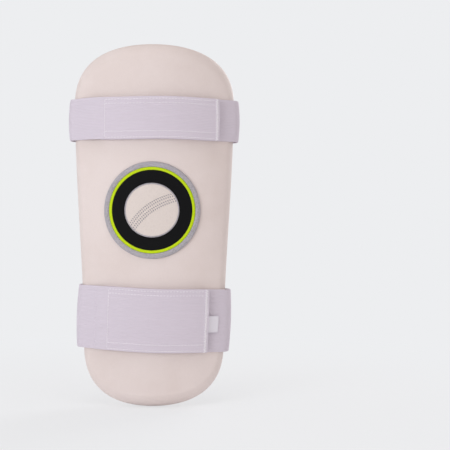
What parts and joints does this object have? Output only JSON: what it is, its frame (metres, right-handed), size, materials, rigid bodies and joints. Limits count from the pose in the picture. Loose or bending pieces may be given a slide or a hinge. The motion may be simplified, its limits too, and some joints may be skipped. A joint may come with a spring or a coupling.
{
  "type": "cricket limb guard",
  "caption": "Curved padded limb guard for cricket with a smooth cover, a towelling lining and elastic straps that wrap behind it and close on the front with hook and loop.",
  "frame": {"origin": "on the limb's side of the pad, halfway along its length, 13 mm behind the middle of the lining, between the lining and the back runs of the straps", "axes": "+Z along the limb towards the wide end, -Y out of the front face, +X to the right of someone who faces the guard"},
  "size_m": [0.1644, 0.0539, 0.345],
  "materials": {
    "cover": "smooth leathercloth, fine grain",
    "foam": "closed-cell foam, inside",
    "towelling": "loop-pile towelling",
    "piping": "turned leathercloth seam",
    "badge": "woven patch",
    "elastic": "ribbed knitted elastic",
    "hook": "moulded hook tape",
    "loop": "brushed loop tape",
    "thread": "polyester sewing thread",
    "satin": "woven satin tape, blank"
  },
  "bodies": {
    "guard": {"front_cover": "cover", "impact_foam": "foam", "comfort_foam": "foam", "rear_lining": "towelling", "lining_piping": "piping", "badge": "badge", "badge_stitching": "thread", "upper_strap_loop": "elastic", "upper_loop_patch": "loop", "upper_loop_stitching": "thread", "upper_anchor_stitching": "thread", "lower_strap_loop": "elastic", "lower_loop_patch": "loop", "lower_loop_stitching": "thread", "lower_anchor_stitching": "thread"},
    "upper_flap": {"upper_strap_flap": "elastic", "upper_hook_patch": "hook", "upper_flap_stitching": "thread", "upper_end_bartack": "thread"},
    "lower_flap": {"lower_strap_flap": "elastic", "lower_hook_patch": "hook", "lower_flap_stitching": "thread", "lower_end_bartack": "thread", "lower_flap_tack": "thread"},
    "label": {"care_label": "satin"}
  },
  "joints": [
    {"name": "upper_flap_opening", "type": "hinge", "parent": "guard", "child": "upper_flap", "pos_m": [-0.08221, 0.00202, 0.101], "axis": [0, 0, -1], "range_deg": [0, 150]},
    {"name": "lower_flap_opening", "type": "hinge", "parent": "guard", "child": "lower_flap", "pos_m": [-0.07377, -0.00339, -0.0897], "axis": [0, 0, -1], "range_deg": [0, 150]},
    {"name": "label_lift", "type": "hinge", "parent": "lower_flap", "child": "label", "pos_m": [0.05284, -0.02537, -0.093], "axis": [0, 0, -1], "range_deg": [0, 90]}
  ]
}
